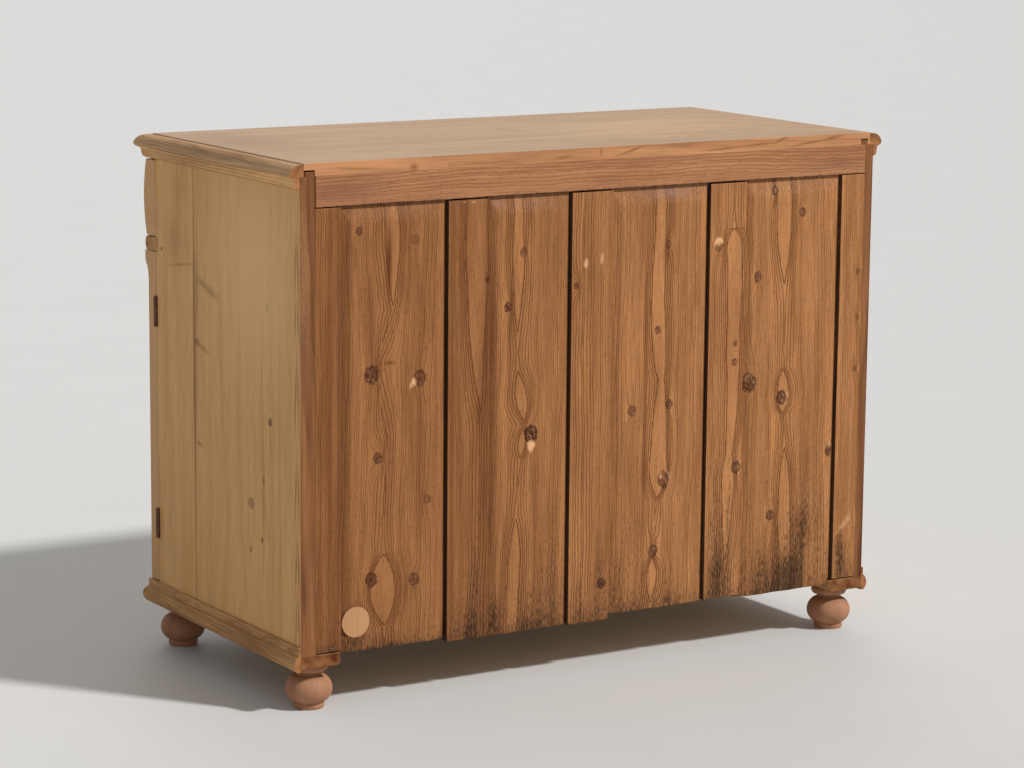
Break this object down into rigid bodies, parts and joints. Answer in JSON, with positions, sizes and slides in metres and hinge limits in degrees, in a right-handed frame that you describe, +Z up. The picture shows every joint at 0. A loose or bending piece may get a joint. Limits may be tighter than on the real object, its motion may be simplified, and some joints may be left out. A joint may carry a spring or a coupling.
{
  "type": "jelly cupboard",
  "caption": "Low pine cupboard with side-by-side drawers over hinged doors, a fielded panel back, mitred mouldings and turned bun feet.",
  "frame": {"origin": "on the floor, under the middle of the whole cupboard", "axes": "+X to the right of someone facing the front, +Y towards the back, +Z up; the front faces -Y"},
  "size_m": [1.151, 0.589, 0.88],
  "materials": {
    "top_pine": "bare waxed pine, pale and streaky",
    "side_pine": "bare waxed pine, pale yellow",
    "back_pine": "aged unfinished pine, orange brown with knots and water stains",
    "moulding_pine": "waxed pine, mid brown",
    "turned_pine": "turned pine, reddish brown",
    "front_pine": "waxed pine",
    "inner_pine": "bare pine",
    "plug_wood": "fresh end grain, pale",
    "iron": "dark oxidised iron",
    "lock_steel": "dull steel",
    "brass": "aged brass"
  },
  "bodies": {
    "carcass": {"back_muntins": "back_pine", "back_nails": "iron", "back_panel_1": "back_pine", "back_panel_2": "back_pine", "back_panel_3": "back_pine", "back_panel_4": "back_pine", "back_stile_left": "back_pine", "back_stile_right": "back_pine", "back_top_rail": "back_pine", "base_front_rail": "moulding_pine", "base_moulding": "moulding_pine", "base_runners": "inner_pine", "bed_moulding": "moulding_pine", "bottom_board": "inner_pine", "carcass_hinge_leaves": "iron", "carcass_hinge_screws": "iron", "centre_post": "inner_pine", "drawer_divider": "inner_pine", "drawer_rail": "moulding_pine", "drawer_runners": "inner_pine", "foot_back_left": "turned_pine", "foot_back_right": "turned_pine", "foot_front_left": "turned_pine", "foot_front_right": "turned_pine", "hinge_pins": "iron", "hole_plug": "plug_wood", "left_side_boards": "side_pine", "right_side_boards": "side_pine", "shelf": "inner_pine", "shelf_battens": "inner_pine", "top_board_back": "top_pine", "top_board_front": "top_pine", "top_front_rail": "moulding_pine", "top_nosing": "moulding_pine"},
    "left_door": {"left_door_frame": "front_pine", "left_door_panel": "front_pine", "left_door_cap": "front_pine", "left_door_hinge_leaves": "iron", "left_door_hinge_screws": "iron", "left_lock_case": "lock_steel", "left_escutcheon": "brass"},
    "left_key": {"left_key": "iron"},
    "left_bolt": {"left_lock_bolt": "lock_steel"},
    "left_drawer": {"left_drawer_front": "front_pine", "left_drawer_box": "inner_pine", "left_drawer_bottom": "inner_pine", "left_drawer_knobs": "turned_pine"},
    "right_door": {"right_door_frame": "front_pine", "right_door_panel": "front_pine", "right_door_cap": "front_pine", "right_door_hinge_leaves": "iron", "right_door_hinge_screws": "iron", "right_lock_case": "lock_steel", "right_escutcheon": "brass"},
    "right_key": {"right_key": "iron"},
    "right_bolt": {"right_lock_bolt": "lock_steel"},
    "right_drawer": {"right_drawer_front": "front_pine", "right_drawer_box": "inner_pine", "right_drawer_bottom": "inner_pine", "right_drawer_knobs": "turned_pine"}
  },
  "joints": [
    {"name": "left_door_hinge", "type": "hinge", "parent": "carcass", "child": "left_door", "pos_m": [-0.56, -0.221, 0.397], "axis": [0, 0, -1], "range_deg": [0, 175]},
    {"name": "left_key_turn", "type": "hinge", "parent": "left_door", "child": "left_key", "pos_m": [-0.052, -0.2515, 0.397], "axis": [0, -1, 0], "range_deg": [0, 180]},
    {"name": "left_bolt_slide", "type": "slide", "parent": "left_door", "child": "left_bolt", "axis": [1, 0, 0], "range_m": [0, 0.01]},
    {"name": "left_drawer_slide", "type": "slide", "parent": "carcass", "child": "left_drawer", "axis": [0, -1, 0], "range_m": [0, 0.36]},
    {"name": "right_door_hinge", "type": "hinge", "parent": "carcass", "child": "right_door", "pos_m": [0.56, -0.221, 0.397], "axis": [0, 0, 1], "range_deg": [0, 175]},
    {"name": "right_key_turn", "type": "hinge", "parent": "right_door", "child": "right_key", "pos_m": [0.052, -0.2515, 0.397], "axis": [0, 1, 0], "range_deg": [0, 180]},
    {"name": "right_bolt_slide", "type": "slide", "parent": "right_door", "child": "right_bolt", "axis": [-1, 0, 0], "range_m": [0, 0.01]},
    {"name": "right_drawer_slide", "type": "slide", "parent": "carcass", "child": "right_drawer", "axis": [0, -1, 0], "range_m": [0, 0.36]}
  ],
  "couplings": [
    {"joint": "left_bolt_slide", "follows": "left_key_turn", "m_per_rad": 0.00318},
    {"joint": "right_bolt_slide", "follows": "right_key_turn", "m_per_rad": 0.00318}
  ]
}
